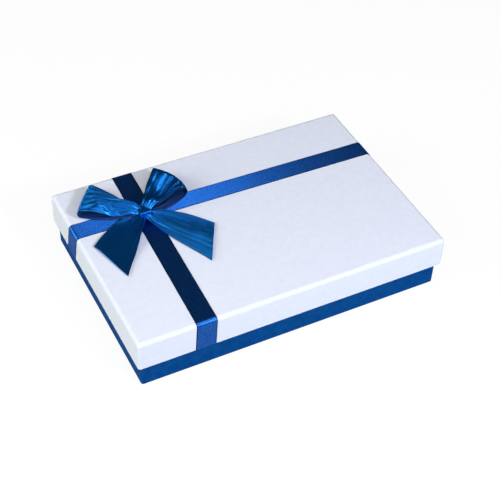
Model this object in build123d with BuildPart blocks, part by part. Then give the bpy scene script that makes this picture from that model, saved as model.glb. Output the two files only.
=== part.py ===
# Rigid gift box for chocolates: a shallow lid over a base with divided cells, dressed with satin ribbon.
# Origin: centre of the underside. +X runs along the length, +Y to the back, +Z up. Millimetres.
from build123d import *
from math import cos, radians, sin, tan
import os

os.makedirs("parts", exist_ok=True)

# Closed box
lid_length = 250.0
lid_width = 170.0
box_height = 46.0
lid_depth = 25.0

# Boards and papers, and the room that the lid slides in
board_thickness = 1.8
wrap_thickness = 0.25
liner_thickness = 0.2
stay_thickness = 0.1
stay_leg = 20.0
lid_clearance = 0.7
lid_edge_radius = 3.0
base_edge_radius = 0.9
corner_radius = 2.0
turn_in = 15.0
liner_gap = 0.1

# Pads and dividers
base_pad_thickness = 3.0
lid_pad_thickness = 5.0
base_pad_clearance = 0.5
lid_pad_margin = 3.5
pad_corner_radius = 3.0
pad_edge_radius = 1.2
divider_thickness = 0.7
divider_headroom = 1.5
divider_end_clearance = 0.3
slot_clearance = 0.1
cell_columns = 6
cell_rows = 4

# Narrow bands round the lid
ribbon_thickness = 0.3
band_width = 16.0
long_band_y = 36.0
cross_band_x = -69.9
long_band_skew = 0.97
long_band_lean = 13.5
cross_band_skew = 1.85
band_tuck = 12.0
step_run = 1.5
step_margin = 0.6
tape_thickness = 0.1
tape_length = 10.0
tape_margin = 1.0

# Bow: its knot stands beside the place where the bands cross
bow_ribbon_thickness = 0.4
knot_offset_x = -1.26
knot_offset_y = -4.18
glue_dot_thickness = 0.4
glue_dot_radius = 3.5
tie_length = 8.0
tie_thickness = 0.5
tie_corner_radius = 1.5
pinch_width = 8.0
pinch_overhang = 1.0
loops_pinch_height = 3.5
tails_pinch_height = 2.0
pinch_inset = 1.5
left_loop_heading = 145.0
left_loop_tilt = 2.3
left_loop_length = 47.4
left_loop_height = 9.8
left_loop_floor = 3.2
left_loop_front_half = 13.3
left_loop_front_flare = 50.0
left_loop_back_half = 16.8
left_loop_back_flare = 58.0
right_loop_heading = 31.0
right_loop_tilt = -3.8
right_loop_length = 40.5
right_loop_height = 12.6
right_loop_floor = 4.4
right_loop_front_half = 16.5
right_loop_front_flare = 44.0
right_loop_back_half = 19.3
right_loop_back_flare = 53.0
loop_crown = 1.6
loop_rise = 28.0
left_tail_heading = 221.0
left_tail_length = 54.2
left_tail_inner_half = 20.3
left_tail_inner_flare = 80.0
left_tail_outer_half = 18.3
left_tail_outer_flare = 30.0
right_tail_heading = 306.7
right_tail_length = 59.5
right_tail_inner_half = 20.7
right_tail_inner_flare = 90.0
right_tail_outer_half = 18.3
right_tail_outer_flare = 26.0
tail_cut = 25.0
tail_rest = 0.3
tail_crown = 1.4
run_stations = 9
tip_stations = 30
tail_stations = 12
least_crown = 0.3

# How far a cutting shape runs past what it cuts
overrun = 5.0

# What follows from them
board_offset = wrap_thickness + board_thickness
rim_wall = board_offset + wrap_thickness
floor_stack = board_offset + liner_thickness
base_length = lid_length - 2 * (rim_wall + lid_clearance)
base_width = lid_width - 2 * (rim_wall + lid_clearance)
base_height = box_height - floor_stack
lid_rim = box_height - lid_depth
room_length = base_length - 2 * rim_wall
room_width = base_width - 2 * rim_wall

base_floor = Plane.XY
lid_top = Plane(origin=(0, 0, box_height), x_dir=(1, 0, 0), z_dir=(0, 0, -1))


def floor_edges(part, floor):
    """The edges round the face of a tray that lies on its floor plane's side."""
    return part.faces().sort_by(Axis(floor.origin, floor.z_dir))[0].edges()


def tray_board(floor, length, width, depth, edge_radius):
    """Greyboard tray, its floor on the given plane and its walls along the plane's normal."""
    with BuildPart() as board:
        with BuildSketch(floor.offset(wrap_thickness)):
            RectangleRounded(
                length - 2 * wrap_thickness,
                width - 2 * wrap_thickness,
                corner_radius - wrap_thickness,
            )
        extrude(amount=depth - 2 * wrap_thickness)
        fillet(floor_edges(board, floor), edge_radius - wrap_thickness)
        with BuildSketch(floor.offset(board_offset)):
            Rectangle(length - 2 * board_offset, width - 2 * board_offset)
        extrude(amount=depth, mode=Mode.SUBTRACT)
    return board.part


def tray_stays(floor, length, width, depth, edge_radius):
    """Four paper strips bent round the upright corners of a tray's board, clear of its rounded floor edge."""
    board_length = length - 2 * wrap_thickness
    board_width = width - 2 * wrap_thickness
    board_corner = corner_radius - wrap_thickness
    with BuildPart() as stays:
        with BuildSketch(floor.offset(edge_radius)):
            RectangleRounded(
                board_length + 2 * stay_thickness,
                board_width + 2 * stay_thickness,
                board_corner + stay_thickness,
            )
            RectangleRounded(board_length, board_width, board_corner, mode=Mode.SUBTRACT)
            Rectangle(board_length - 2 * stay_leg, width, mode=Mode.SUBTRACT)
            Rectangle(length, board_width - 2 * stay_leg, mode=Mode.SUBTRACT)
        extrude(amount=depth - edge_radius - wrap_thickness)
    return stays.part


def tray_wrap(floor, length, width, depth, edge_radius, board, stays):
    """Covering paper over the outside of a tray's board and its rim, turned in on the inside."""
    inner_length = length - 2 * board_offset
    inner_width = width - 2 * board_offset
    with BuildPart() as wrap:
        with BuildSketch(floor):
            RectangleRounded(length, width, corner_radius)
        extrude(amount=depth)
        fillet(floor_edges(wrap, floor), edge_radius)
        with BuildSketch(floor.offset(board_offset)):
            Rectangle(inner_length, inner_width)
        extrude(amount=depth, mode=Mode.SUBTRACT)
        with BuildSketch(floor.offset(depth - turn_in)):
            Rectangle(inner_length, inner_width)
            Rectangle(
                inner_length - 2 * wrap_thickness,
                inner_width - 2 * wrap_thickness,
                mode=Mode.SUBTRACT,
            )
        extrude(amount=turn_in)
        add(board, mode=Mode.SUBTRACT)
        add(stays, mode=Mode.SUBTRACT)
    return wrap.part


def tray_liner(floor, length, width, depth):
    """Lining paper over the floor of a tray and up its walls to the edge of the turned-in wrap."""
    inner_length = length - 2 * board_offset
    inner_width = width - 2 * board_offset
    with BuildPart() as liner:
        with BuildSketch(floor.offset(board_offset)):
            Rectangle(inner_length, inner_width)
        extrude(amount=depth - board_offset - turn_in - liner_gap)
        with BuildSketch(floor.offset(floor_stack)):
            Rectangle(inner_length - 2 * liner_thickness, inner_width - 2 * liner_thickness)
        extrude(amount=depth, mode=Mode.SUBTRACT)
    return liner.part


def soft_pad(seat, length, width, thickness):
    """Soft paper pad on its seat plane, with rounded corners and a rounded free edge."""
    with BuildPart() as pad:
        with BuildSketch(seat):
            RectangleRounded(length, width, pad_corner_radius)
        extrude(amount=thickness)
        free_face = pad.faces().sort_by(Axis(seat.origin, seat.z_dir))[-1]
        fillet(free_face.edges(), pad_edge_radius)
    return pad.part


def write(part, name):
    part.label = name
    export_step(part, f"parts/{name}.step")


# The two trays with their papers
trays = {
    "base": (base_floor, base_length, base_width, base_height, base_edge_radius),
    "lid": (lid_top, lid_length, lid_width, lid_depth, lid_edge_radius),
}
for tray, (floor, length, width, depth, edge_radius) in trays.items():
    board = tray_board(floor, length, width, depth, edge_radius)
    stays = tray_stays(floor, length, width, depth, edge_radius)
    write(board, f"{tray}_board")
    write(stays, f"{tray}_corner_stays")
    write(tray_wrap(floor, length, width, depth, edge_radius, board, stays), f"{tray}_wrap")
    write(tray_liner(floor, length, width, depth), f"{tray}_liner")

# A pad lies on the base's floor, and a thicker one is glued under the lid, inside the base's walls
base_pad = soft_pad(
    base_floor.offset(floor_stack),
    room_length - 2 * base_pad_clearance,
    room_width - 2 * base_pad_clearance,
    base_pad_thickness,
)
write(base_pad, "base_pad")
lid_pad = soft_pad(
    lid_top.offset(floor_stack),
    room_length - 2 * lid_pad_margin,
    room_width - 2 * lid_pad_margin,
    lid_pad_thickness,
)
write(lid_pad, "lid_pad")

# Card dividers: those along the length are slotted from above, those across it from below
divider_foot = floor_stack + base_pad_thickness
divider_height = base_height - divider_foot - lid_pad_thickness - divider_headroom
slot_width = divider_thickness + 2 * slot_clearance
slot_depth = divider_height / 2 + slot_clearance
cell_length = room_length / cell_columns
cell_width = room_width / cell_rows
cross_divider_xs = [(i - cell_columns / 2) * cell_length for i in range(1, cell_columns)]
long_divider_ys = [(i - cell_rows / 2) * cell_width for i in range(1, cell_rows)]


def divider(face, length, slots, slot_height):
    """Card strip centred on a face plane, whose local Y is up, with slots at the given places along it."""
    with BuildPart() as strip:
        with BuildSketch(face):
            with Locations((0, divider_foot + divider_height / 2)):
                Rectangle(length, divider_height)
            with Locations(*[(slot, slot_height) for slot in slots]):
                Rectangle(slot_width, slot_depth, mode=Mode.SUBTRACT)
        extrude(amount=divider_thickness / 2, both=True)
    return strip.part


top_slot_height = divider_foot + divider_height - slot_depth / 2
bottom_slot_height = divider_foot + slot_depth / 2
for i, y in enumerate(long_divider_ys, start=1):
    face = Plane.XZ.offset(-y)
    length = room_length - 2 * divider_end_clearance
    write(divider(face, length, cross_divider_xs, top_slot_height), f"divider_long_{i}")
for i, x in enumerate(cross_divider_xs, start=1):
    face = Plane.YZ.offset(x)
    length = room_width - 2 * divider_end_clearance
    write(divider(face, length, long_divider_ys, bottom_slot_height), f"divider_cross_{i}")

# Where the skewed centre lines of the two bands cross
long_slope = -tan(radians(long_band_skew))
cross_slope = tan(radians(cross_band_skew))
crossing_y = (long_band_y + long_slope * cross_band_x) / (1 - long_slope * cross_slope)
crossing_x = cross_band_x + cross_slope * crossing_y


def lid_outline(span, grow=0.0):
    """The lid seen from one side, its upper corners rounded, or that outline grown outwards."""
    with BuildSketch() as outline:
        with Locations((0, lid_rim + lid_depth / 2)):
            Rectangle(span + 2 * grow, lid_depth + 2 * grow)
        fillet(outline.vertices().group_by(Axis.Y)[-1], lid_edge_radius + grow)
    return outline.sketch


def band_strip(side, span, width, step_at=None):
    """Satin over the lid's top and down both walls, tucked round the rim and up inside, wider than its band.

    side is the upright plane of its outline and span the lid's size along it. At step_at it climbs over
    the other band.
    """
    tuck_place = span / 2 - rim_wall - tape_thickness - ribbon_thickness / 2
    with BuildPart() as strip:
        with BuildSketch(side):
            add(lid_outline(span, ribbon_thickness))
            if step_at is not None:
                half_step = band_width / 2 + step_margin
                climb = [
                    (step_at - half_step - step_run, box_height),
                    (step_at - half_step, box_height + ribbon_thickness),
                    (step_at + half_step, box_height + ribbon_thickness),
                    (step_at + half_step + step_run, box_height),
                ]
                with BuildLine():
                    Polyline(*[(x, z + ribbon_thickness) for x, z in climb], close=True)
                make_face()
            add(lid_outline(span), mode=Mode.SUBTRACT)
            if step_at is not None:
                with BuildLine():
                    Polyline(*climb, close=True)
                make_face(mode=Mode.SUBTRACT)
            with Locations((0, lid_rim - ribbon_thickness / 2)):
                Rectangle(2 * tuck_place, ribbon_thickness, mode=Mode.SUBTRACT)
            with Locations(*[(x, lid_rim + band_tuck / 2) for x in (-tuck_place, tuck_place)]):
                Rectangle(ribbon_thickness, band_tuck + 2 * ribbon_thickness)
        extrude(amount=width / 2, both=True)
    return strip.part


# The long band keeps its skew over the top, then leans towards the back down the left wall
fold_x = lid_edge_radius - lid_length / 2
fold_y = long_band_y + long_slope * fold_x
fold_z = box_height - lid_edge_radius
lean_drop = fold_z - lid_rim + overrun
lean_shift = lean_drop * tan(radians(long_band_lean))
long_strip_width = band_width + lid_length * tan(radians(long_band_skew)) + 2 * (overrun + lean_shift)
with BuildPart() as long_band:
    with BuildSketch(Plane.XY.offset(lid_rim - overrun)):
        with Locations((0, long_band_y)):
            Rectangle(lid_length + 2 * overrun, band_width, rotation=-long_band_skew)
        with Locations((fold_x - lid_width / 2, long_band_y)):
            Rectangle(lid_width, lid_width, mode=Mode.SUBTRACT)
    extrude(amount=lid_depth + 2 * overrun)
    with BuildSketch(Plane.YZ.offset(fold_x)):
        with BuildLine():
            Polyline(
                (fold_y - band_width / 2, box_height + overrun),
                (fold_y + band_width / 2, box_height + overrun),
                (fold_y + band_width / 2, fold_z),
                (fold_y + band_width / 2 + lean_shift, fold_z - lean_drop),
                (fold_y - band_width / 2 + lean_shift, fold_z - lean_drop),
                (fold_y - band_width / 2, fold_z),
                close=True,
            )
        make_face()
    extrude(amount=-lid_edge_radius - overrun)
    add(band_strip(Plane.XZ.offset(-long_band_y), lid_length, long_strip_width), mode=Mode.INTERSECT)
write(long_band.part, "ribbon_long_band")

cross_strip_width = band_width + lid_width * tan(radians(cross_band_skew)) + 2 * overrun
with BuildPart() as cross_band:
    with BuildSketch(Plane.XY.offset(lid_rim - overrun)):
        with Locations((cross_band_x, 0)):
            Rectangle(band_width, lid_width + 2 * overrun, rotation=-cross_band_skew)
    extrude(amount=lid_depth + 2 * overrun)
    add(
        band_strip(Plane.YZ.offset(cross_band_x), lid_width, cross_strip_width, step_at=crossing_y),
        mode=Mode.INTERSECT,
    )
write(cross_band.part, "ribbon_cross_band")

# Tape under the tucked ends
tape_height = lid_rim + tape_margin + tape_length / 2
tape_span = band_width - 2 * tape_margin
long_end = lid_length / 2 - rim_wall - tape_thickness / 2
cross_end = lid_width / 2 - rim_wall - tape_thickness / 2
left_tape_y = fold_y + (fold_z - tape_height) * tan(radians(long_band_lean))
right_tape_y = long_band_y + long_slope * long_end
long_tape_places = [(-long_end, left_tape_y, tape_height), (long_end, right_tape_y, tape_height)]
cross_tape_places = [(cross_band_x + cross_slope * y, y, tape_height) for y in (-cross_end, cross_end)]
with BuildPart() as tapes:
    with Locations(*long_tape_places):
        Box(tape_thickness, tape_span, tape_length)
    with Locations(*cross_tape_places):
        Box(tape_span, tape_thickness, tape_length)
write(tapes.part, "ribbon_end_tapes")

# Bow: a glue dot on the crossed bands, then the tie round the pinched tails and loops, counted upwards
knot_x = crossing_x + knot_offset_x
knot_y = crossing_y + knot_offset_y
dot_foot = box_height + 2 * ribbon_thickness
tie_foot = dot_foot + glue_dot_thickness
tails_foot = tie_foot + tie_thickness
loops_foot = tails_foot + tails_pinch_height
pinch_top = loops_foot + loops_pinch_height
pinch_height = tails_pinch_height + loops_pinch_height

with BuildPart() as glue_dot:
    with BuildSketch(Plane.XY.offset(dot_foot)):
        with Locations((knot_x, knot_y)):
            Circle(glue_dot_radius)
    extrude(amount=glue_dot_thickness)
write(glue_dot.part, "bow_glue_dot")

knot_side = Plane(origin=(knot_x, knot_y, tie_foot), x_dir=(0, 1, 0), z_dir=(1, 0, 0))
tie_width = pinch_width + 2 * tie_thickness
tie_height = pinch_height + 2 * tie_thickness
with BuildPart() as tie_block:
    with BuildSketch(knot_side):
        with Locations((0, tie_height / 2)):
            RectangleRounded(tie_width, tie_height, tie_corner_radius)
    extrude(amount=tie_length / 2, both=True)
with BuildPart() as tie:
    add(tie_block.part)
    with BuildSketch(knot_side):
        with Locations((0, tie_height / 2)):
            Rectangle(pinch_width, pinch_height)
    extrude(amount=tie_length, both=True, mode=Mode.SUBTRACT)
write(tie.part, "bow_tie")


def edge_spread(distance, half, flare):
    """How far an edge stands from the ribbon's middle at a distance from the knot: half its width from flare on."""
    spread = sin(radians(90) * min(distance / flare, 1))
    return pinch_width / 2 + (half - pinch_width / 2) * spread


def ribbon_strip(stations):
    """Thin strip lofted through (plane, right, left, crown) stations, each section a shallow arc."""
    with BuildPart() as strip:
        for plane, right, left, crown in stations:
            with BuildSketch(plane):
                with BuildLine():
                    arcs = [
                        ThreePointArc((-right, rise), ((left - right) / 2, crown + rise), (left, rise))
                        for rise in (0, bow_ribbon_thickness)
                    ]
                    for end in (0, 1):
                        Line(arcs[0] @ end, arcs[1] @ end)
                make_face()
        loft(ruled=True)
    return strip.part


def heading_plane(heading, tilt=0.0):
    """Upright plane through the knot at the lid's top, local X along the heading, rolled by tilt about it."""
    turn, roll = radians(heading), radians(tilt)
    return Plane(
        origin=(knot_x, knot_y, box_height),
        x_dir=(cos(turn), sin(turn), 0),
        z_dir=(sin(turn) * cos(roll), -cos(turn) * cos(roll), sin(roll)),
    )


def loop_strip(heading, tilt, length, height, foot, right_edge, left_edge):
    """One loop: up and out from the pinch, round the tip and back under itself.

    Each edge is its half width and its flare, right and left as seen from the knot.
    """
    upper_start = pinch_top - box_height - 2 * bow_ribbon_thickness
    lower_start = loops_foot - box_height + 2 * bow_ribbon_thickness + least_crown
    side = heading_plane(heading, tilt)
    tip_radius = (height - foot) / 2
    shoulder = length - tip_radius
    reach = shoulder / 3
    climb = reach * tan(radians(loop_rise))
    with BuildLine(side):
        upper_run = Bezier(
            (pinch_inset, upper_start),
            (pinch_inset + reach, upper_start + climb),
            (shoulder - reach, height),
            (shoulder, height),
        )
        tip = (length, foot + tip_radius)
        tip_run = ThreePointArc((shoulder, height), tip, (shoulder, foot))
        lower_run = Bezier(
            (shoulder, foot),
            (shoulder - reach, foot),
            (pinch_inset + reach, lower_start),
            (pinch_inset, lower_start),
        )
    stations = []
    for run, steps in ((upper_run, run_stations), (tip_run, tip_stations), (lower_run, run_stations)):
        for i in range(1 if stations else 0, steps + 1):
            point = run @ (i / steps)
            plane = Plane(origin=point, x_dir=-side.z_dir, z_dir=run % (i / steps))
            distance = (point - side.origin).dot(side.x_dir)
            right = edge_spread(distance, *right_edge)
            left = edge_spread(distance, *left_edge)
            facing_up = max(plane.y_dir.dot(side.y_dir), 0)
            crown = least_crown + loop_crown * facing_up * distance / length
            stations.append((plane, right, left, crown))
    return ribbon_strip(stations)


def tail_strip(heading, length, cut, right_edge, left_edge):
    """One tail: down from the pinch and out along the lid, its end cut on the diagonal."""
    start = tails_foot - box_height + bow_ribbon_thickness
    end = 2 * ribbon_thickness + tail_rest
    side = heading_plane(heading)
    with BuildLine(side) as path:
        Spline((pinch_inset, start), (length / 3, end), (length, end))
    stations = []
    for i in range(tail_stations + 1):
        share = i / tail_stations
        turn = radians(cut) * max(0, 2 * share - 1)
        along = side.x_dir * cos(turn) + side.z_dir * sin(turn)
        across = Vector(0, 0, 1).cross(along)
        point = path.line @ share
        distance = (point - side.origin).dot(side.x_dir)
        right = edge_spread(distance, *right_edge) / cos(turn)
        left = edge_spread(distance, *left_edge) / cos(turn)
        plane = Plane(origin=point, x_dir=across, z_dir=along)
        stations.append((plane, right, left, tail_crown * (right + left) / (right_edge[0] + left_edge[0])))
    return ribbon_strip(stations)


def pinched(strips, foot, height):
    """Two strips joined through the tie by the bundle of their gathered middle."""
    with BuildPart() as joined:
        for strip in strips:
            add(strip)
        add(tie_block.part, mode=Mode.SUBTRACT)
        with BuildSketch(knot_side):
            with Locations((0, foot - tie_foot + height / 2)):
                Rectangle(pinch_width, height)
        extrude(amount=tie_length / 2 + pinch_overhang, both=True)
    return joined.part


left_loop = loop_strip(
    left_loop_heading,
    left_loop_tilt,
    left_loop_length,
    left_loop_height,
    left_loop_floor,
    right_edge=(left_loop_back_half, left_loop_back_flare),
    left_edge=(left_loop_front_half, left_loop_front_flare),
)
right_loop = loop_strip(
    right_loop_heading,
    right_loop_tilt,
    right_loop_length,
    right_loop_height,
    right_loop_floor,
    right_edge=(right_loop_front_half, right_loop_front_flare),
    left_edge=(right_loop_back_half, right_loop_back_flare),
)
write(pinched([left_loop, right_loop], loops_foot, loops_pinch_height), "bow_loops")
left_tail = tail_strip(
    left_tail_heading,
    left_tail_length,
    tail_cut,
    right_edge=(left_tail_outer_half, left_tail_outer_flare),
    left_edge=(left_tail_inner_half, left_tail_inner_flare),
)
right_tail = tail_strip(
    right_tail_heading,
    right_tail_length,
    -tail_cut,
    right_edge=(right_tail_inner_half, right_tail_inner_flare),
    left_edge=(right_tail_outer_half, right_tail_outer_flare),
)
write(pinched([left_tail, right_tail], tails_foot, tails_pinch_height), "bow_tails")
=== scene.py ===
# Rigid gift box for chocolates: the looks of its lid, base, inside and satin bow.
# Metres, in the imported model's frame: +X along the length, +Y to the back, +Z up.
import math
from functools import partial

import bpy
import numpy as np
from mathutils import Matrix, Vector


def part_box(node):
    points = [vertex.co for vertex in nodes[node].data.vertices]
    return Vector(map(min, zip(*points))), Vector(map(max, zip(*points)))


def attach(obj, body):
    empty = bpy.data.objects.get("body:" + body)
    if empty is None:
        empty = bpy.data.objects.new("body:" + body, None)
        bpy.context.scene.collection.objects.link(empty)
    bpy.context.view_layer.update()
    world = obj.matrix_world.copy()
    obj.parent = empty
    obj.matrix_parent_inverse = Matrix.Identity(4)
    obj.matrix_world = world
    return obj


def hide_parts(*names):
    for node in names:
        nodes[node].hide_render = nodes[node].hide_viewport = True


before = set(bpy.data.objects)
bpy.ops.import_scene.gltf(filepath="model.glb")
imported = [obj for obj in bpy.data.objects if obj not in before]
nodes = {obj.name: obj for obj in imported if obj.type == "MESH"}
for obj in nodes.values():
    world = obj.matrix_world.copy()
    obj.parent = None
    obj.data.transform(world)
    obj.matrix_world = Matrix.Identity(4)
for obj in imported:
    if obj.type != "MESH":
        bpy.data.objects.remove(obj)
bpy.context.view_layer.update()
mm = 0.001


# Camera
# The box was photographed from the front left and well above its lid, with a long lens.
# The stand-off is measured from the middle of the lid's top.
camera_turn = math.radians(-28.77)
camera_height = math.radians(44.22)
camera_roll = math.radians(2.80)
camera_stand_off = 915.4 * mm
camera_slide = 2.98 * mm
camera_lift = -25.0 * mm
camera_lens = 87.0
camera_sensor = 36.0
camera_nearest = 10.0 * mm
lid_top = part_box("lid_wrap")[1].z

camera_back = Vector((
    math.sin(camera_turn) * math.cos(camera_height),
    -math.cos(camera_turn) * math.cos(camera_height),
    math.sin(camera_height),
))
level_right = Vector((math.cos(camera_turn), math.sin(camera_turn), 0))
level_up = camera_back.cross(level_right)
camera_right = math.cos(camera_roll) * level_right + math.sin(camera_roll) * level_up
camera_up = math.cos(camera_roll) * level_up - math.sin(camera_roll) * level_right
camera_place = (
    Vector((0, 0, lid_top))
    + camera_back * camera_stand_off
    + camera_right * camera_slide
    + camera_up * camera_lift
)
camera_data = bpy.data.cameras.new("camera")
camera_data.lens = camera_lens
camera_data.sensor_width = camera_sensor
camera_data.clip_start = camera_nearest
camera = bpy.data.objects.new("camera", camera_data)
bpy.context.scene.collection.objects.link(camera)
camera.matrix_world = Matrix.Translation(camera_place) @ Matrix(
    (camera_right, camera_up, camera_back)
).transposed().to_4x4()
bpy.context.scene.camera = camera


# Studio
# A pale table top under large soft lamps: overhead, from the left and from the front.
# One smaller lamp from the front right draws the bow's shadow and the bright lines of the satin.
def linear_colour(red, green, blue):
    """A colour given in the eight-bit steps of a screen, as Blender's nodes take it."""
    steps = [step / 255 for step in (red, green, blue)]
    return [s / 12.92 if s <= 0.04045 else ((s + 0.055) / 1.055) ** 2.4 for s in steps] + [1.0]


def add_node(tree, kind, inputs=None, **settings):
    """One node of a tree, each of its inputs given as a value or as the socket that feeds it."""
    node = tree.nodes.new(kind)
    for name, value in settings.items():
        setattr(node, name, value)
    for socket, value in (inputs or {}).items():
        if isinstance(value, bpy.types.NodeSocket):
            tree.links.new(value, node.inputs[socket])
        else:
            node.inputs[socket].default_value = value
    return node


def math_step(tree, operation, *values, **settings):
    """The result of one step of arithmetic in a tree."""
    inputs = dict(enumerate(values))
    return add_node(tree, "ShaderNodeMath", inputs, operation=operation, **settings).outputs[0]


def finish(name, surface_inputs):
    """A material with one Principled surface, whose inputs take the values given."""
    material = bpy.data.materials.new(name)
    material.use_nodes = True
    tree = material.node_tree
    surface = tree.nodes["Principled BSDF"]
    for socket, value in surface_inputs.items():
        surface.inputs[socket].default_value = value
    return material, tree, surface


table_radius = 3.0
table_corners = 64
table_drop = 0.2 * mm
table_white = linear_colour(175, 175, 177)
table_glow_share = 0.8
table_glow = 1.14
world_tint = (1.0, 1.0, 0.94, 1.0)
world_strength = 0.05

table_mesh = bpy.data.meshes.new("table")
ring = [
    (table_radius * math.cos(a), table_radius * math.sin(a), -table_drop)
    for a in np.linspace(0, 2 * math.pi, table_corners, endpoint=False)
]
table_mesh.from_pydata(ring, [], [list(range(len(ring)))])
table = bpy.data.objects.new("table", table_mesh)
bpy.context.scene.collection.objects.link(table)

# The top glows where it is seen, which keeps the ground white, and lights nothing by that glow.
table_finish, tree, surface = finish("table_top", {"Base Color": table_white, "Roughness": 0.8})
path = add_node(tree, "ShaderNodeLightPath").outputs
seen = math_step(tree, "MAXIMUM", path["Is Camera Ray"], path["Is Transmission Ray"])
share = math_step(tree, "MULTIPLY", seen, table_glow_share)
glow = add_node(tree, "ShaderNodeEmission", {"Color": (1, 1, 1, 1), "Strength": table_glow})
mixed = add_node(tree, "ShaderNodeMixShader", {0: share, 1: surface.outputs[0], 2: glow.outputs[0]})
tree.links.new(mixed.outputs[0], tree.nodes["Material Output"].inputs["Surface"])
table_mesh.materials.append(table_finish)

world = bpy.data.worlds.new("studio")
bpy.context.scene.world = world
world.use_nodes = True
surroundings = world.node_tree.nodes["Background"].inputs
surroundings["Color"].default_value = world_tint
surroundings["Strength"].default_value = world_strength

# Each lamp is a soft square that hangs in its direction from the box and faces it.
for name, toward, distance, size, watts, tint in (
    ("key_lamp", (0.25, -0.77, 0.58), 1.3, 0.16, 11.0, (0.89, 0.93, 1.0)),
    ("overhead_lamp", (-0.1, -0.4, 1.0), 1.4, 1.0, 7.3, (1.0, 0.95, 0.97)),
    ("left_lamp", (-1.0, 0.06, 0.5), 1.5, 0.9, 18.0, (0.97, 1.0, 0.88)),
    ("front_lamp", (-0.2, -1.0, 0.45), 1.6, 0.9, 6.5, (0.85, 1.0, 0.95)),
):
    light = bpy.data.lights.new(name, "AREA")
    light.size = size
    light.energy = watts
    light.color = tint
    lamp = bpy.data.objects.new(name, light)
    bpy.context.scene.collection.objects.link(lamp)
    direction = Vector(toward).normalized()
    facing = direction.to_track_quat("Z", "Y").to_matrix().to_4x4()
    lamp.matrix_world = Matrix.Translation(direction * distance) @ facing
bpy.context.scene.view_settings.view_transform = "Standard"


# Lid paper
# Pale pearly paper with a fine pressed grain, glued over the whole outside of the lid's board
# and turned in over the rim. The grain group serves every paper and board of the box.
def look_group(name, inputs):
    """A group for the look of a surface, which puts out its colour, roughness and normal."""
    group = bpy.data.node_groups.new(name, "ShaderNodeTree")
    for socket, value in inputs.items():
        kind = "NodeSocketColor" if isinstance(value, tuple) else "NodeSocketFloat"
        group.interface.new_socket(socket, in_out="INPUT", socket_type=kind).default_value = value
    for socket, kind in (("Colour", "Color"), ("Roughness", "Float"), ("Normal", "Vector")):
        group.interface.new_socket(socket, in_out="OUTPUT", socket_type=f"NodeSocket{kind}")
    return group, group.nodes.new("NodeGroupInput").outputs


def put_out(group, **results):
    """Joins the group's results to its outputs."""
    made = group.nodes.new("NodeGroupOutput").inputs
    for socket, result in results.items():
        group.links.new(result, made[socket.title()])


def ramp(tree, value, low, high, first=0.0, last=1.0):
    """Runs from the first to the last as the value does from low to high, and keeps within them."""
    return add_node(tree, "ShaderNodeMapRange", {
        "Value": value, "From Min": low, "From Max": high, "To Min": first, "To Max": last,
    }).outputs[0]


def mixed_colour(tree, share, first, second):
    """A colour that runs from the first to the second as the share does from zero to one."""
    inputs = {0: share, 6: first, 7: second}
    return add_node(tree, "ShaderNodeMix", inputs, data_type="RGBA").outputs[2]


def paper_grain_group():
    """Pressed paper: a fine grain with pores between, and a soft mottle of the colour."""
    group, given = look_group("paper_grain", {
        "Colour": (0.8, 0.8, 0.8, 1.0), "Mottle Colour": (0.7, 0.7, 0.7, 1.0),
        "Grain Size": 0.6 * mm, "Mottle Size": 6.0 * mm, "Grain Depth": 0.03 * mm,
        "Roughness": 0.6, "Roughness Spread": 0.1,
    })
    reckon = partial(math_step, group)
    place = add_node(group, "ShaderNodeTexCoord").outputs["Object"]
    grain_scale = reckon("DIVIDE", 1.0, given["Grain Size"])
    mottle_scale = reckon("DIVIDE", 1.0, given["Mottle Size"])
    grain = add_node(group, "ShaderNodeTexNoise", {
        "Vector": place, "Scale": grain_scale, "Detail": 3.0, "Roughness": 0.55,
    }).outputs["Fac"]
    pores = add_node(group, "ShaderNodeTexVoronoi", {
        "Vector": place, "Scale": grain_scale, "Smoothness": 0.6,
    }, feature="SMOOTH_F1").outputs["Distance"]
    mottle = add_node(group, "ShaderNodeTexNoise", {
        "Vector": place, "Scale": mottle_scale, "Detail": 4.0, "Roughness": 0.6,
    }).outputs["Fac"]
    relief = reckon("ADD", grain, pores)
    spread = ramp(group, mottle, 0.35, 0.65)
    speckle = ramp(group, grain, 0.3, 0.7, first=-0.25, last=0.25)
    share = reckon("ADD", spread, speckle, use_clamp=True)
    bump = add_node(group, "ShaderNodeBump", {
        "Strength": 1.0, "Distance": given["Grain Depth"], "Height": relief,
    })
    put_out(
        group,
        colour=mixed_colour(group, share, given["Colour"], given["Mottle Colour"]),
        roughness=reckon("MULTIPLY_ADD", speckle, given["Roughness Spread"], given["Roughness"]),
        normal=bump.outputs[0],
    )
    return group


def grouped_finish(name, group, surface_inputs, **group_values):
    """A material that a look group colours, roughens and embosses with the values given to it."""
    material, tree, surface = finish(name, surface_inputs)
    look = add_node(tree, "ShaderNodeGroup", node_tree=group)
    for socket, value in group_values.items():
        if isinstance(value, tuple):
            value = linear_colour(*value)
        look.inputs[socket.replace("_", " ").title()].default_value = value
    for result, socket in (("Colour", "Base Color"), ("Roughness", "Roughness"), ("Normal", "Normal")):
        tree.links.new(look.outputs[result], surface.inputs[socket])
    return material, tree, surface


paper_grain = paper_grain_group()


def paper_finish(name, colour, mottle_colour, surface_inputs, **grain_values):
    """A paper or board: the grain group with its own colours and sizes."""
    colours = {"colour": colour, "mottle_colour": mottle_colour}
    return grouped_finish(name, paper_grain, surface_inputs, **colours, **grain_values)[0]


def cover(node_name, material):
    """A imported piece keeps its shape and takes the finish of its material."""
    node = nodes[node_name]
    node.data.materials.clear()
    node.data.materials.append(material)


lid_paper = paper_finish(
    "lid_paper", (218, 221, 237), (213, 217, 234), {"Sheen Weight": 0.05, "Specular IOR Level": 0.15},
    grain_size=0.55 * mm, mottle_size=5.0 * mm, grain_depth=0.045 * mm,
    roughness=0.65, roughness_spread=0.2,
)
cover("lid_wrap", lid_paper)


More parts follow.
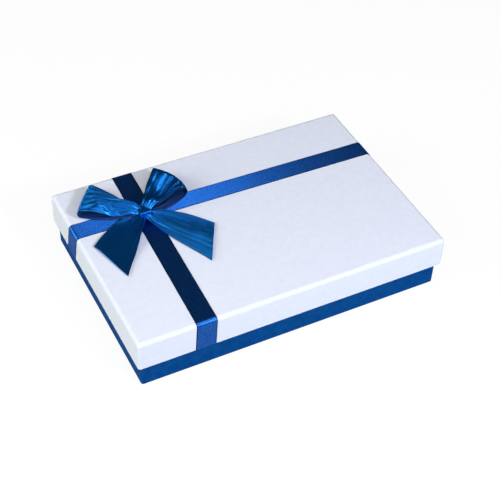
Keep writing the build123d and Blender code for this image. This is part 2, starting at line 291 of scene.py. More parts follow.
# Base paper
# Dark blue paper with the same pressed grain over the base's board. It is a little smoother than
# the lid's and reflects less, so that its colour stays deep.
base_paper = paper_finish(
    "base_paper", (1, 72, 138), (0, 60, 122), {"Specular IOR Level": 0.03},
    grain_size=0.5 * mm, mottle_size=4.0 * mm, grain_depth=0.04 * mm,
    roughness=0.5, roughness_spread=0.25,
)
cover("base_wrap", base_paper)


# Boards, corner papers and linings
# Greyboard trays under the papers, thin brown paper strips that hold their corners, and white
# lining paper glued inside up to the turned-in edge. Only the linings show, with the lid off.
greyboard = paper_finish(
    "greyboard", (140, 132, 120), (118, 112, 103), {}, grain_size=0.9 * mm, mottle_size=3.0 * mm,
    grain_depth=0.06 * mm, roughness=0.85, roughness_spread=0.1,
)
stay_paper = paper_finish(
    "stay_paper", (178, 148, 108), (160, 130, 94), {}, grain_size=0.7 * mm, mottle_size=4.0 * mm,
    grain_depth=0.03 * mm, roughness=0.7, roughness_spread=0.15,
)
lining_paper = paper_finish(
    "lining_paper", (238, 238, 234), (230, 230, 226), {"Sheen Weight": 0.05}, grain_size=0.5 * mm,
    mottle_size=7.0 * mm, grain_depth=0.015 * mm, roughness=0.62, roughness_spread=0.15,
)
for tray in ("lid", "base"):
    cover(f"{tray}_board", greyboard)
    cover(f"{tray}_corner_stays", stay_paper)
    cover(f"{tray}_liner", lining_paper)


# Card dividers
# White card strips slotted half through and pushed into each other: three along the base and
# five across it. The card has a thin smooth coat.
divider_card = paper_finish(
    "divider_card", (240, 238, 230), (229, 226, 215), {"Coat Weight": 0.12, "Coat Roughness": 0.3},
    grain_size=0.4 * mm, mottle_size=5.0 * mm, grain_depth=0.012 * mm,
    roughness=0.48, roughness_spread=0.2,
)
for node_name in nodes:
    if node_name.startswith("divider_"):
        cover(node_name, divider_card)


# Pads
# Soft white paper cushions pressed into a diamond quilt, thin at the edge: one on the base's
# floor under the chocolates and a thicker one glued under the lid to hold them down.
def quilted_pad_tree():
    """Geometry nodes for one pad: a grid pressed into a quilt, closed underneath by a flat grid."""
    tree = bpy.data.node_groups.new("quilted_pad", "GeometryNodeTree")
    tree.interface.new_socket("Geometry", in_out="INPUT", socket_type="NodeSocketGeometry")
    for kind, names in (
        ("Float", ("Length", "Width", "Thickness", "Edge Run", "Pull In", "Quilt Pitch", "Press Depth")),
        ("Int", ("Columns", "Rows")),
        ("Material", ("Finish",)),
    ):
        for name in names:
            tree.interface.new_socket(name, in_out="INPUT", socket_type=f"NodeSocket{kind}")
    tree.interface.new_socket("Geometry", in_out="OUTPUT", socket_type="NodeSocketGeometry")
    given = tree.nodes.new("NodeGroupInput").outputs
    reckon = partial(math_step, tree)
    edge_fullness, quilt_fullness = 0.5, 0.4
    seam_gap = 0.002 * mm

    grid = add_node(tree, "GeometryNodeMeshGrid", {
        "Size X": given["Length"], "Size Y": given["Width"],
        "Vertices X": given["Columns"], "Vertices Y": given["Rows"],
    }).outputs["Mesh"]
    place = add_node(tree, "GeometryNodeInputPosition").outputs[0]
    level = add_node(tree, "ShaderNodeSeparateXYZ", {0: place}).outputs
    x, y = level["X"], level["Y"]
    half_length = reckon("MULTIPLY", given["Length"], 0.5)
    half_width = reckon("MULTIPLY", given["Width"], 0.5)
    x_share = reckon("DIVIDE", x, half_length)
    y_share = reckon("DIVIDE", y, half_width)

    to_edge = reckon("MINIMUM", reckon("SUBTRACT", half_length, reckon("ABSOLUTE", x)),
                     reckon("SUBTRACT", half_width, reckon("ABSOLUTE", y)))
    rise = add_node(tree, "ShaderNodeMapRange", {
        "Value": to_edge, "From Min": 0.0, "From Max": given["Edge Run"],
    }, interpolation_type="SMOOTHERSTEP").outputs[0]
    rise = reckon("POWER", rise, edge_fullness)
    waves = [
        reckon("SINE", reckon("MULTIPLY", reckon("DIVIDE", slope, given["Quilt Pitch"]), math.pi))
        for slope in (reckon("ADD", x, y), reckon("SUBTRACT", x, y))
    ]
    pillow = reckon("POWER", reckon("ABSOLUTE", reckon("MULTIPLY", *waves)), quilt_fullness)
    pressed = reckon("MULTIPLY", reckon("SUBTRACT", 1.0, pillow), given["Press Depth"])
    height = reckon("MULTIPLY", rise, reckon("SUBTRACT", given["Thickness"], pressed))

    # The quilting draws the sides in between the corners.
    def pulled(share, other):
        """The way a point is drawn in: by its own share, less as the other one nears a corner."""
        inward = reckon("SUBTRACT", reckon("MULTIPLY", other, other), 1.0)
        return reckon("MULTIPLY", reckon("MULTIPLY", share, inward), given["Pull In"])

    pull_x, pull_y = pulled(x_share, y_share), pulled(y_share, x_share)
    lift = add_node(tree, "ShaderNodeCombineXYZ", {"X": pull_x, "Y": pull_y, "Z": height}).outputs[0]
    flat = add_node(tree, "ShaderNodeCombineXYZ", {"X": pull_x, "Y": pull_y}).outputs[0]
    crown = add_node(tree, "GeometryNodeSetPosition", {"Geometry": grid, "Offset": lift}).outputs[0]
    under = add_node(tree, "GeometryNodeSetPosition", {"Geometry": grid, "Offset": flat}).outputs[0]
    under = add_node(tree, "GeometryNodeFlipFaces", {"Mesh": under}).outputs[0]
    shape = add_node(tree, "GeometryNodeJoinGeometry")
    tree.links.new(under, shape.inputs[0])
    tree.links.new(crown, shape.inputs[0])
    for kind, inputs in (
        ("GeometryNodeMergeByDistance", {"Distance": seam_gap}),
        ("GeometryNodeSetShadeSmooth", {"Shade Smooth": True}),
        ("GeometryNodeRealizeInstances", {}),
        ("GeometryNodeSetMaterial", {"Material": given["Finish"]}),
    ):
        shape = add_node(tree, kind, {"Geometry": shape.outputs[0], **inputs})
    tree.links.new(shape.outputs[0], tree.nodes.new("NodeGroupOutput").inputs["Geometry"])
    return tree


def made_from_nodes(name, tree, values, place):
    """The tree's result as a plain mesh, with its place in its mesh."""
    carrier = bpy.data.objects.new(f"{name}_carrier", bpy.data.meshes.new(f"{name}_carrier"))
    bpy.context.scene.collection.objects.link(carrier)
    modifier = carrier.modifiers.new("shape", "NODES")
    modifier.node_group = tree
    for item in tree.interface.items_tree:
        if item.in_out == "INPUT" and item.name in values:
            modifier[item.identifier] = values[item.name]
    graph = bpy.context.evaluated_depsgraph_get()
    mesh = bpy.data.meshes.new_from_object(carrier.evaluated_get(graph))
    carrier.modifiers.remove(modifier)
    bpy.data.objects.remove(carrier)
    mesh.transform(place)
    mesh.name = name
    piece = bpy.data.objects.new(name, mesh)
    bpy.context.scene.collection.objects.link(piece)
    return piece


pad_paper = paper_finish(
    "pad_paper", (244, 243, 240), (236, 235, 231), {"Sheen Weight": 0.2, "Sheen Roughness": 0.4},
    grain_size=0.9 * mm, mottle_size=8.0 * mm, grain_depth=0.03 * mm,
    roughness=0.6, roughness_spread=0.15,
)
quilted_pad = quilted_pad_tree()
pads = {
    "base_pad": {"body": "base", "face_down": False, "Edge Run": 4.0 * mm, "Press Depth": 1.3 * mm},
    "lid_pad": {"body": "lid", "face_down": True, "Edge Run": 5.0 * mm, "Press Depth": 2.0 * mm},
}
for pad_name, pad in pads.items():
    low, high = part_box(pad_name)
    middle = (low + high) / 2
    if pad["face_down"]:
        seat = Matrix.Translation((middle.x, middle.y, high.z)) @ Matrix.Rotation(math.pi, 4, "X")
    else:
        seat = Matrix.Translation((middle.x, middle.y, low.z))
    size = high - low
    piece = made_from_nodes(f"{pad_name}_quilt", quilted_pad, {
        "Length": size.x, "Width": size.y, "Thickness": size.z,
        "Edge Run": pad["Edge Run"], "Pull In": 0.9 * mm,
        "Quilt Pitch": 13.0 * mm, "Press Depth": pad["Press Depth"],
        "Columns": 200, "Rows": 134, "Finish": pad_paper,
    }, seat)
    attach(piece, pad["body"])
    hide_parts(pad_name)


# Satin bands
# Two narrow satin ribbons pulled tight round the lid, their ends tucked round the rim and
# taped inside. Each is one flat strip laid slightly askew; the one across climbs over the other.
def satin_group():
    """Satin in a ribbon's own map, U across it and V along it: warp floats, grain and selvedges."""
    group, given = look_group("satin", {
        "Colour": (0.02, 0.08, 0.3, 1.0), "Streak Colour": (0.02, 0.1, 0.35, 1.0),
        "Selvedge Colour": (0.01, 0.03, 0.12, 1.0), "Thread": 0.22 * mm, "Float": 1.1 * mm,
        "Thread Depth": 0.012 * mm, "Grain Size": 0.7 * mm, "Grain Depth": 0.03 * mm,
        "Grain Share": 0.15, "Half Width": 8.0 * mm, "Selvedge": 0.7 * mm, "Roughness": 0.35,
    })
    reckon = partial(math_step, group)
    row_stagger, dip_sharpness = 0.4, 6.0
    streak_threads, streak_floats = 2.0, 12.0
    selvedge_core, selvedge_roughness, grain_roughness = 0.6, 0.15, 0.2

    ribbon_map = add_node(group, "ShaderNodeUVMap", uv_map="ribbon").outputs[0]
    place = add_node(group, "ShaderNodeSeparateXYZ", {0: ribbon_map}).outputs
    across, along = place["X"], place["Y"]
    thread = reckon("DIVIDE", across, given["Thread"])
    row = reckon("FLOOR", thread)
    rib = reckon("ABSOLUTE", reckon("SINE", reckon("MULTIPLY", thread, math.pi)))
    stagger = reckon("MULTIPLY", row, row_stagger)
    float_run = reckon("FRACT", reckon("ADD", reckon("DIVIDE", along, given["Float"]), stagger))
    from_middle = reckon("ABSOLUTE", reckon("SUBTRACT", reckon("MULTIPLY", float_run, 2.0), 1.0))
    weave = reckon("SUBTRACT", rib, reckon("POWER", from_middle, dip_sharpness))

    streak_place = add_node(group, "ShaderNodeCombineXYZ", {
        "X": reckon("DIVIDE", across, reckon("MULTIPLY", given["Thread"], streak_threads)),
        "Y": reckon("DIVIDE", along, reckon("MULTIPLY", given["Float"], streak_floats)),
    }).outputs[0]
    grain_place = add_node(group, "ShaderNodeVectorMath", {
        0: ribbon_map, "Scale": reckon("DIVIDE", 1.0, given["Grain Size"]),
    }, operation="SCALE").outputs[0]
    streak, grain = [
        add_node(group, "ShaderNodeTexNoise", {"Vector": spot, "Scale": 1.0, "Detail": 2.0}).outputs["Fac"]
        for spot in (streak_place, grain_place)
    ]
    streak_share, grain_share = [ramp(group, noise, 0.35, 0.65) for noise in (streak, grain)]
    light_share = add_node(group, "ShaderNodeMix", {
        0: given["Grain Share"], 2: streak_share, 3: grain_share,
    }).outputs[0]
    body = mixed_colour(group, light_share, given["Colour"], given["Streak Colour"])

    from_edge = reckon("SUBTRACT", given["Half Width"], reckon("ABSOLUTE", across))
    core = reckon("MULTIPLY", given["Selvedge"], selvedge_core)
    on_selvedge = ramp(group, from_edge, core, given["Selvedge"], first=1.0, last=0.0)
    edge_gain = reckon("MULTIPLY", on_selvedge, selvedge_roughness)
    grain_gain = reckon("MULTIPLY", reckon("SUBTRACT", grain, 0.5), grain_roughness)
    thread_relief = add_node(group, "ShaderNodeBump", {
        "Strength": 1.0, "Distance": given["Thread Depth"], "Height": weave,
    })
    grain_relief = add_node(group, "ShaderNodeBump", {
        "Strength": 1.0, "Distance": given["Grain Depth"], "Height": grain,
        "Normal": thread_relief.outputs[0],
    })
    put_out(
        group,
        colour=mixed_colour(group, on_selvedge, body, given["Selvedge Colour"]),
        roughness=reckon("ADD", given["Roughness"], reckon("ADD", edge_gain, grain_gain)),
        normal=grain_relief.outputs[0],
    )
    return group


satin = satin_group()


def satin_finish(name, colours, surface_inputs, **satin_values):
    """A satin ribbon, whose shine spreads across its warp; colours are body, streaks and selvedge."""
    colours = dict(zip(("colour", "streak_colour", "selvedge_colour"), colours))
    material, tree, surface = grouped_finish(name, satin, surface_inputs, **colours, **satin_values)
    lie = add_node(tree, "ShaderNodeTangent", direction_type="UV_MAP", uv_map="ribbon")
    tree.links.new(lie.outputs[0], surface.inputs["Tangent"])
    return material


ribbon_edge = finish("ribbon_edge", {
    "Base Color": linear_colour(2, 34, 82), "Roughness": 0.7, "Specular IOR Level": 0.2,
})[0]


def ribbon_piece(name, points, across, along, thickness, material, back=None):
    """A ribbon of some thickness from rows of points along it, mapped by metres across and along.

    Its cut edges have their own finish, and its back has one where it is given.
    """
    rows, columns, _ = points.shape
    mesh = bpy.data.meshes.new(name)
    faces = [
        (i * columns + j, i * columns + j + 1, (i + 1) * columns + j + 1, (i + 1) * columns + j)
        for i in range(rows - 1)
        for j in range(columns - 1)
    ]
    mesh.from_pydata(points.reshape(-1, 3).tolist(), [], faces)
    layer = mesh.uv_layers.new(name="ribbon")
    corners = np.empty(len(mesh.loops), int)
    mesh.loops.foreach_get("vertex_index", corners)
    places = np.stack([across.reshape(-1)[corners], along.reshape(-1)[corners]], 1)
    layer.data.foreach_set("uv", places.astype(np.float32).ravel())
    mesh.materials.append(material)
    mesh.materials.append(ribbon_edge)
    mesh.materials.append(back or material)
    mesh.polygons.foreach_set("use_smooth", [True] * len(mesh.polygons))
    piece = bpy.data.objects.new(name, mesh)
    bpy.context.scene.collection.objects.link(piece)
    wall = piece.modifiers.new("thickness", "SOLIDIFY")
    wall.thickness = thickness
    wall.offset = 0.0
    wall.use_even_offset = False
    wall.material_offset_rim = 1
    wall.material_offset = 2
    return piece


band_width = 16.0 * mm
band_thickness = 0.3 * mm
band_tuck = 12.0 * mm
band_columns = 21
row_spacing = 2.0 * mm
bend_points = 9
bend_reach = 0.9 * mm
bend_row_spacing = 0.18 * mm
tape_thickness = 0.1 * mm
rim_wall = 2.3 * mm
lid_edge_radius = 3.0 * mm
rim_fold_radius = 0.3 * mm
lid_low, lid_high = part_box("lid_wrap")
long_band_y = 36.0 * mm
long_band_skew = math.radians(0.97)
long_band_lean = math.radians(13.5)
cross_band_x = -69.9 * mm
cross_band_skew = math.radians(1.85)
climb_run = 1.5 * mm
climb_half_width = band_width / 2 + 0.6 * mm


def lid_contour(half_span):
    """The band's middle layer from the side: distance along it, place across the lid and height."""
    grow = band_thickness / 2
    top, rim = lid_top + grow, lid_low.z - grow
    outer, inner = half_span + grow, half_span - rim_wall - tape_thickness - grow
    points = [(0.0, top)]
    bends = (
        (half_span - lid_edge_radius, lid_top - lid_edge_radius, lid_edge_radius + grow, 90, 0),
        (outer - rim_fold_radius, rim + rim_fold_radius, rim_fold_radius, 0, -90),
        (inner + rim_fold_radius, rim + rim_fold_radius, rim_fold_radius, -90, -180),
    )
    for middle, height, radius, start, end in bends:
        for angle in np.radians(np.linspace(start, end, bend_points)):
            points.append((middle + radius * math.cos(angle), height + radius * math.sin(angle)))
    points.append((inner, lid_low.z + band_tuck))
    points = np.array(points)
    run = np.concatenate([[0], np.cumsum(np.hypot(*np.diff(points, axis=0).T))])
    return run, points[:, 0], points[:, 1]


def band_points(half_span, skew, start):
    """A flat strip laid askew over the contour.

    For each point: its place and side step on the lid, its height, and where it is across and
    along the strip. The rows stand closer round every fourth point of the bends.
    """
    run, place, height = lid_contour(half_span)
    reach = run[-1]
    steps = np.unique(np.concatenate([np.arange(0, reach, row_spacing), [reach]] + [
        np.arange(max(bend - bend_reach, 0), min(bend + bend_reach, reach), bend_row_spacing)
        for bend in run[1:-1:4]
    ]).round(6))
    along = np.concatenate([-steps[:0:-1], steps])
    across = np.linspace(-band_width / 2, band_width / 2, band_columns)
    t, v = np.meshgrid(along, across, indexing="ij")
    s = np.clip(t * math.cos(skew) - v * math.sin(skew), -reach, reach)
    side = start + t * math.sin(skew) + v * math.cos(skew)
    a = np.interp(np.abs(s), run, place) * np.sign(s)
    z = np.interp(np.abs(s), run, height)
    return a, side, z, v, t


band_satin = satin_finish(
    "band_satin", ((3, 60, 174), (56, 146, 248), (2, 36, 100)),
    {"Metallic": 0.95, "Anisotropic": 1.0, "Specular IOR Level": 1.0},
    half_width=band_width / 2, thread_depth=0.003 * mm, grain_size=0.9 * mm, grain_depth=0.01 * mm,
    grain_share=0.7, roughness=0.38,
)
a, side, z, v, t = band_points(lid_high.x, -long_band_skew, long_band_y)
down_left = np.clip(lid_top - lid_edge_radius - z, 0, None) * (a < 0)
side = side + down_left * math.tan(long_band_lean)
long_band = ribbon_piece("long_band_satin", np.stack([a, side, z], 2), v, t, band_thickness, band_satin)
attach(long_band, "lid")
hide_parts("ribbon_long_band")

a, side, z, v, t = band_points(lid_high.y, -cross_band_skew, -cross_band_x)
x, y = -side, a
beside = np.abs(y - (long_band_y - math.tan(long_band_skew) * x)) * math.cos(long_band_skew)
climb = np.clip((climb_half_width + climb_run - beside) / climb_run, 0, 1)
z = z + band_thickness * climb * climb * (3 - 2 * climb)
cross_band = ribbon_piece("cross_band_satin", np.stack([x, y, z], 2), v, t, band_thickness, band_satin)
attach(cross_band, "lid")
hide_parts("ribbon_cross_band")


# Tape and glue
# Thin clear double-sided tape holds the tucked ends of the bands inside the lid's wall, and a
# flat dot of milky glue holds the bow on the crossed bands.
tape_finish, tree, surface = finish("tape", {
    "Roughness": 0.35, "Coat Weight": 0.4, "Coat Roughness": 0.15,
})
cloud = add_node(tree, "ShaderNodeTexNoise", {
    "Vector": add_node(tree, "ShaderNodeTexCoord").outputs["Object"],
    "Scale": 1 / (3.0 * mm), "Detail": 3.0,
}).outputs["Fac"]
cloud_colour = mixed_colour(tree, cloud, linear_colour(226, 222, 205), linear_colour(240, 238, 228))
tree.links.new(cloud_colour, surface.inputs["Base Color"])
cover("ribbon_end_tapes", tape_finish)

glue_finish, tree, surface = finish("glue", {
    "Roughness": 0.25, "Subsurface Weight": 0.3, "Coat Weight": 0.5,
    "Subsurface Radius": (1.0 * mm, 0.8 * mm, 0.5 * mm),
})
swirl = add_node(tree, "ShaderNodeTexNoise", {
    "Vector": add_node(tree, "ShaderNodeTexCoord").outputs["Object"],
    "Scale": 1 / (1.5 * mm), "Detail": 2.0,
}).outputs["Fac"]
swirl_colour = mixed_colour(tree, swirl, linear_colour(214, 200, 160), linear_colour(236, 226, 196))
swirl_relief = add_node(tree, "ShaderNodeBump", {"Distance": 0.05 * mm, "Height": swirl})
tree.links.new(swirl_colour, surface.inputs["Base Color"])
tree.links.new(swirl_relief.outputs[0], surface.inputs["Normal"])
cover("bow_glue_dot", glue_finish)


# Bow loops
# One wide satin ribbon folded back under itself at both ends, and gathered in its middle where
# the tie pinches it. The pleats of the gather fan out over the dished tops of the two loops. The
# ribbon's back, which shows inside the loops, shines less than its face, and its darker blue is painted
# shade.
bow_ribbon_width = 37.0 * mm
bow_ribbon_thickness = 0.4 * mm
pinch_width = 7.6 * mm
gather_inset = 1.0 * mm
pleat_start, pleat_rise = 3.0 * mm, 6.0 * mm
columns_across = 61
tie_low, tie_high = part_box("bow_tie")
knot = Vector(((tie_low.x + tie_high.x) / 2, (tie_low.y + tie_high.y) / 2, lid_top))
bow_satin = satin_finish(
    "bow_satin", ((4, 106, 198), (10, 122, 212), (2, 52, 114)),
    {"Metallic": 0.9, "Anisotropic": 1.0, "Specular IOR Level": 1.0},
    half_width=bow_ribbon_width / 2, selvedge=0.6 * mm, thread_depth=0.003 * mm,
    grain_depth=0.004 * mm, roughness=0.42,
)
# The back's duller satin is the ribbon's own; its darker blue is painted shade for the inside of the
# loops.
dull_back_and_painted_shade = satin_finish(
    "dull_back_and_painted_shade", ((2, 44, 100), (4, 52, 112), (2, 34, 82)),
    {"Metallic": 0.3, "Anisotropic": 0.6, "Specular IOR Level": 0.3},
    half_width=bow_ribbon_width / 2, selvedge=0.6 * mm, grain_depth=0.008 * mm, roughness=0.6,
)


def smooth_share(value):
    """Runs smoothly from zero to one as the value does."""
    value = np.clip(value, 0, 1)
    return value * value * (3 - 2 * value)


def eased(heights, share):
    """A smooth curve through evenly spaced heights, read at a share of its run."""
    heights = np.asarray(heights, float)
    last = len(heights) - 1
    slopes = np.gradient(heights)
    place = np.clip(share, 0, 1) * last
    step = np.minimum(place.astype(int), last - 1)
    f = place - step
    return (
        (2 * f ** 3 - 3 * f ** 2 + 1) * heights[step]
        + (f ** 3 - 2 * f ** 2 + f) * slopes[step]
        + (3 * f ** 2 - 2 * f ** 3) * heights[step + 1]
        + (f ** 3 - f ** 2) * slopes[step + 1]
    )


def over_width(low_edge, middle, high_edge, across):
    """Heights across the ribbon from those at its two edges and its middle."""
    tilt, sag = (high_edge - low_edge) / 2, (high_edge + low_edge) / 2 - middle
    return middle + across * tilt + across ** 2 * sag


def bow_heading(heading):
    """The level direction away from the knot, and the one across it to the right of that way."""
    turn = math.radians(heading)
    return np.array((math.cos(turn), math.sin(turn), 0)), np.array((math.sin(turn), -math.cos(turn), 0))


def half_spread(share, half, flare):
    """Distance of an edge from the middle line as the gather opens; a higher flare opens sooner."""
    return pinch_width / 2 + (half - pinch_width / 2) * (1 - (1 - np.clip(share, 0, 1)) ** flare)


def pleats(reach, across, folds):
    """Height of the pleats that open beside the tie.

    Each fold has a depth and a fade length in millimetres, a count of waves over the ribbon's
    width and an offset in half waves.
    """
    waves = sum(
        depth * mm * np.exp(-reach / (fade * mm)) * np.cos(math.pi * (count * across + offset))
        for depth, fade, count, offset in folds
    )
    return waves * smooth_share((reach - pleat_start) / pleat_rise)


def hollows(reach, across, places):
    """Height of bumps and hollows.

    Each has a height, a place along the ribbon and a run along it, in millimetres, then a place
    across and a run across, in shares of the half width, and a slant in millimetres.
    """
    return sum(
        height * mm * np.exp(
            -((reach / mm - place - slant * across) / run) ** 2 - ((across - side) / width) ** 2
        )
        for height, place, run, side, width, slant in places
    )


def walls(reach, across, places):
    """Height gained over short steep rises; each has the same six values as a hollow."""
    return sum(
        height * mm * smooth_share((reach / mm - place - slant * across) / run + 0.5)
        * np.exp(-((across - side) / width) ** 2)
        for height, place, run, side, width, slant in places
    )


def placed(reach, step, height, heading):
    """Points some way along a heading from the knot, a step across it and a height over the lid."""
    ahead, aside = bow_heading(heading)
    return (
        np.array(knot)
        + reach[:, :, None] * ahead
        + step[:, :, None] * aside
        + height[:, :, None] * np.array((0, 0, 1))
    )


def bow_loop(heading, length, tip_skew, tip_round, edges, upper, lower, shape, rises, folds):
    """Rows of points along one loop: out over the top, round the tip and back to the knot.

    edges is (half width, flare) for the two edges. upper and lower are the heights along the low
    edge, the middle and the high edge of the two runs, in millimetres. shape, rises and folds are
    the lists that hollows, walls and pleats take. The folds die out before the tip.
    """
    rows_out, rows_round, rows_back = 80, 42, 60
    tip_fullness = 1.15
    fade_power = 4
    across = np.linspace(-1, 1, columns_across)[None, :]
    tip = length + tip_skew * across - tip_round * across ** 2
    top_end = over_width(*[line[-1] * mm for line in upper], across)
    foot_end = over_width(*[line[-1] * mm for line in lower], across)
    radius = (top_end - foot_end) / 2
    tip_reach = tip_fullness * radius
    shoulder = tip - tip_reach
    out = np.linspace(0, 1, rows_out)[:, None]
    back = np.linspace(1, 0, rows_back)[:, None]
    angle = np.linspace(math.pi / 2, -math.pi / 2, rows_round)[1:-1][:, None]
    reach_out, reach_back = [gather_inset + share * (shoulder - gather_inset) for share in (out, back)]
    folded = (
        hollows(reach_out, across, shape)
        + walls(reach_out, across, rises)
        + pleats(reach_out, across, folds)
    )
    reach = np.concatenate([reach_out, shoulder + tip_reach * np.cos(angle), reach_back])
    height = np.concatenate([
        over_width(*[eased(line, out) * mm for line in upper], across)
        + folded * (1 - out ** fade_power),
        (top_end + foot_end) / 2 + radius * np.sin(angle),
        over_width(*[eased(line, back) * mm for line in lower], across)
        + pleats(reach_back, across, folds) * (1 - back ** fade_power),
    ])
    low, high = [half_spread(reach / length, half, flare) for half, flare in edges]
    step = across * (low + high) / 2 + across ** 2 * (high - low) / 2
    return placed(reach, step, height, heading)


def run_along(points):
    """Distance along each line of a ribbon's points, from its first row."""
    steps = np.linalg.norm(np.diff(points, axis=0), axis=2)
    return np.concatenate([np.zeros((1, points.shape[1])), np.cumsum(steps, axis=0)])


def run_across(points, width):
    """Place of each point across the flat ribbon, from its middle."""
    return np.broadcast_to(np.linspace(-0.5, 0.5, points.shape[1]) * width, points.shape[:2])


loop_builds = {
    "left_loop_satin": dict(
        heading=145.0, length=47.8 * mm, tip_skew=-0.6 * mm, tip_round=1.0 * mm,
        edges=((13.6 * mm, 1.6), (17.4 * mm, 1.3)),
        upper=(
            (5.2, 6.8, 4.5, 4.8, 7.8, 9.8),
            (6.5, 8.2, 8.9, 9.3, 10.3, 9.1),
            (5.2, 7.2, 6.4, 8.0, 8.8, 9.8),
        ),
        lower=(
            (4.4, 3.0, 2.4, 2.2, 2.4, 3.0),
            (4.4, 3.2, 2.5, 2.5, 2.8, 3.4),
            (4.4, 3.2, 2.6, 2.6, 3.0, 3.6),
        ),
        shape=(
            (0.9, 36.4, 2.9, 0.04, 0.68, 7.0),
            (0.1, 12.9, 3.0, -0.32, 0.94, 3.2),
            (-2.2, 18.1, 17.1, 1.09, 0.53, -0.6),
            (2.4, 18.5, 12.1, 0.15, 0.63, -7.5),
        ),
        rises=(
            (2.5, 35.9, 6.0, -0.62, 0.93, 11.7),
            (2.2, 29.6, 3.0, -0.52, 0.50, 13.6),
        ),
        folds=((2.4, 15.8, 5.0, 0.4), (0.6, 25.3, 3.0, 0.4)),
    ),
    "right_loop_satin": dict(
        heading=31.0, length=42.0 * mm, tip_skew=-2.5 * mm, tip_round=4.5 * mm,
        edges=((18.5 * mm, 1.25), (16.5 * mm, 1.6)),
        upper=(
            (5.2, 8.2, 8.8, 12.5, 12.5, 13.0),
            (6.5, 10.8, 10.6, 9.9, 11.9, 12.1),
            (5.2, 12.0, 12.3, 13.8, 15.6, 12.3),
        ),
        lower=(
            (4.4, 3.6, 3.2, 3.4, 4.2, 5.4),
            (4.4, 3.4, 3.0, 3.2, 3.9, 5.0),
            (4.4, 2.6, 1.6, 1.6, 2.4, 3.8),
        ),
        shape=(
            (-4.6, 22.5, 12.4, -0.44, 1.00, -4.1),
            (-3.2, 34.9, 9.2, -0.04, 0.54, -9.1),
            (2.1, 31.8, 16.2, -0.91, 0.45, -5.6),
            (1.1, 12.1, 3.0, 0.22, 0.21, 4.5),
        ),
        rises=(
            (3.7, 40.2, 2.3, 0.21, 1.07, -5.7),
            (0.6, 30.0, 6.0, -0.71, 0.67, -8.9),
        ),
        folds=((2.1, 11.2, 5.0, 1.4), (1.3, 17.2, 3.0, 0.0)),
    ),
}
for piece_name, build in loop_builds.items():
    points = bow_loop(**build)
    across, along = run_across(points, bow_ribbon_width), run_along(points)
    loop = ribbon_piece(piece_name, points, across, along, bow_ribbon_thickness, bow_satin, dull_back_and_painted_shade)
    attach(loop, "lid")
    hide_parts("bow_loops")


# Bow tails
# A second length of the same ribbon under the loops, pinched by the same tie. Each tail drops
# to the lid and lies on it in shallow folds, and its end is cut on the diagonal.
def bow_tail(heading, length, cut, edges, shape, folds):
    """Rows of points along one tail, from the knot down to the lid and out to its slanted end.

    cut is the slant of the end in degrees; edges, shape and folds are as for a loop.
    """
    rows_out = 110
    lie, least = 1.05 * mm, 0.85 * mm
    start_lift, drop_run = 2.6 * mm, 20.0 * mm
    belly, belly_run, belly_kept = 1.4 * mm, 24.0 * mm, 0.35
    out = np.linspace(0, 1, rows_out)[:, None]
    across = np.linspace(-1, 1, columns_across)[None, :]
    # The slant of the cut grows over the outer half of the tail.
    slant = math.tan(math.radians(cut)) * edges[0][0] * smooth_share(out * 2 - 1)
    reach = gather_inset + out * (length - gather_inset) + slant * across
    fullness = belly_kept + (1 - belly_kept) * np.exp(-reach / belly_run)
    height = (
        lie
        + start_lift * smooth_share(1 - reach / drop_run)
        + belly * (1 - across ** 2) * fullness
        + hollows(reach, across, shape)
        + pleats(reach, across, folds)
    )
    low, high = [half_spread(out, half, flare) for half, flare in edges]
    step = across * (low + high) / 2 + across ** 2 * (high - low) / 2
    return placed(reach, step, np.maximum(height, least), heading)


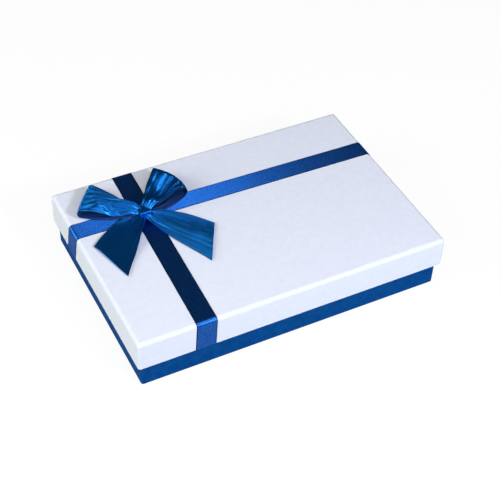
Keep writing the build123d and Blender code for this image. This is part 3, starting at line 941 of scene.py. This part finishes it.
tail_builds = {
    "left_tail_satin": dict(
        heading=221.0, length=54.2 * mm, cut=-25.0, edges=((18.25 * mm, 0.9), (18.25 * mm, 3.6)),
        shape=(
            (0.8, 30.4, 18.1, 0.19, 0.22, 3.0),
            (0.9, 44.4, 10.7, 0.59, 0.27, 4.2),
            (3.6, 24.3, 11.4, -1.10, 0.53, -0.1),
            (1.4, 21.5, 9.0, -0.10, 0.23, -2.5),
        ),
        folds=((1.7, 8.0, 5.0, 0.1), (1.3, 15.3, 3.0, 0.7), (0.9, 27.6, 2.0, 0.0)),
    ),
    "right_tail_satin": dict(
        heading=306.7, length=59.5 * mm, cut=25.0, edges=((18.25 * mm, 4.5), (18.25 * mm, 0.95)),
        shape=(
            (-2.2, 25.7, 15.0, -1.05, 0.25, 10.7),
            (1.8, 20.8, 8.7, -0.79, 0.40, 6.8),
            (-1.0, 31.1, 13.7, 0.07, 0.26, -3.6),
            (-0.9, 42.5, 7.8, -0.46, 0.70, 1.7),
        ),
        folds=((1.7, 8.0, 5.0, 1.2), (0.3, 8.8, 3.0, 0.0), (1.2, 27.9, 2.0, 2.0)),
    ),
}
for piece_name, build in tail_builds.items():
    points = bow_tail(**build)
    across, along = run_across(points, bow_ribbon_width), run_along(points)
    tail = ribbon_piece(piece_name, points, across, along, bow_ribbon_thickness, bow_satin)
    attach(tail, "lid")
    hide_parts("bow_tails")


# Bow tie
# A short length of the ribbon folded narrow and drawn tight round the gathered middle, its ends
# glued underneath. The squeeze leaves creases that run round it.
tie_flat_width = 11.0 * mm
rows_per_corner, tie_columns = 17, 41


def tie_points():
    """Rows of points round the pinch and back to the first: flat sides, round corners, flared edges."""
    middle, half = (tie_low + tie_high) / 2, (tie_high - tie_low) / 2
    corner, sunk = 1.2 * mm, 0.3 * mm
    crease_depth, crease_count, crease_wander = 0.3 * mm, 3.5, 1.2
    flare, overhang = 0.4 * mm, 0.3 * mm
    starts = np.array((-90, 0, 90, 180))
    quarters = [np.radians(np.linspace(start, start + 90, rows_per_corner)) for start in starts]
    corners = [np.full(rows_per_corner, way) for way in np.radians(starts + 45)]
    turn = np.concatenate(quarters + [quarters[0][:1]])[:, None]
    side = np.concatenate(corners + [corners[0][:1]])[:, None]
    over = np.linspace(-1, 1, tie_columns)[None, :]
    # The creases are deeper on two sides than between them.
    depth = crease_depth * (0.75 + 0.25 * np.sin(2 * turn + 0.7))
    crease = depth * np.cos(crease_count * math.pi * over + crease_wander * np.sin(turn))
    grow = corner + crease + flare * over ** 4 - sunk
    x = (half.x + overhang) * over + 0 * turn
    y = (half.y - corner) * np.sign(np.cos(side)) + grow * np.cos(turn)
    z = (half.z - corner) * np.sign(np.sin(side)) + grow * np.sin(turn)
    return np.stack([middle.x + x, middle.y + y, middle.z + z], 2)


points = tie_points()
tie_run = run_along(points)[:, tie_columns // 2]
along = np.broadcast_to(tie_run[:, None], points.shape[:2])
across = run_across(points, tie_flat_width)
tie = ribbon_piece("bow_tie_satin", points, across, along, bow_ribbon_thickness, bow_satin)
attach(tie, "lid")
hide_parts("bow_tie")
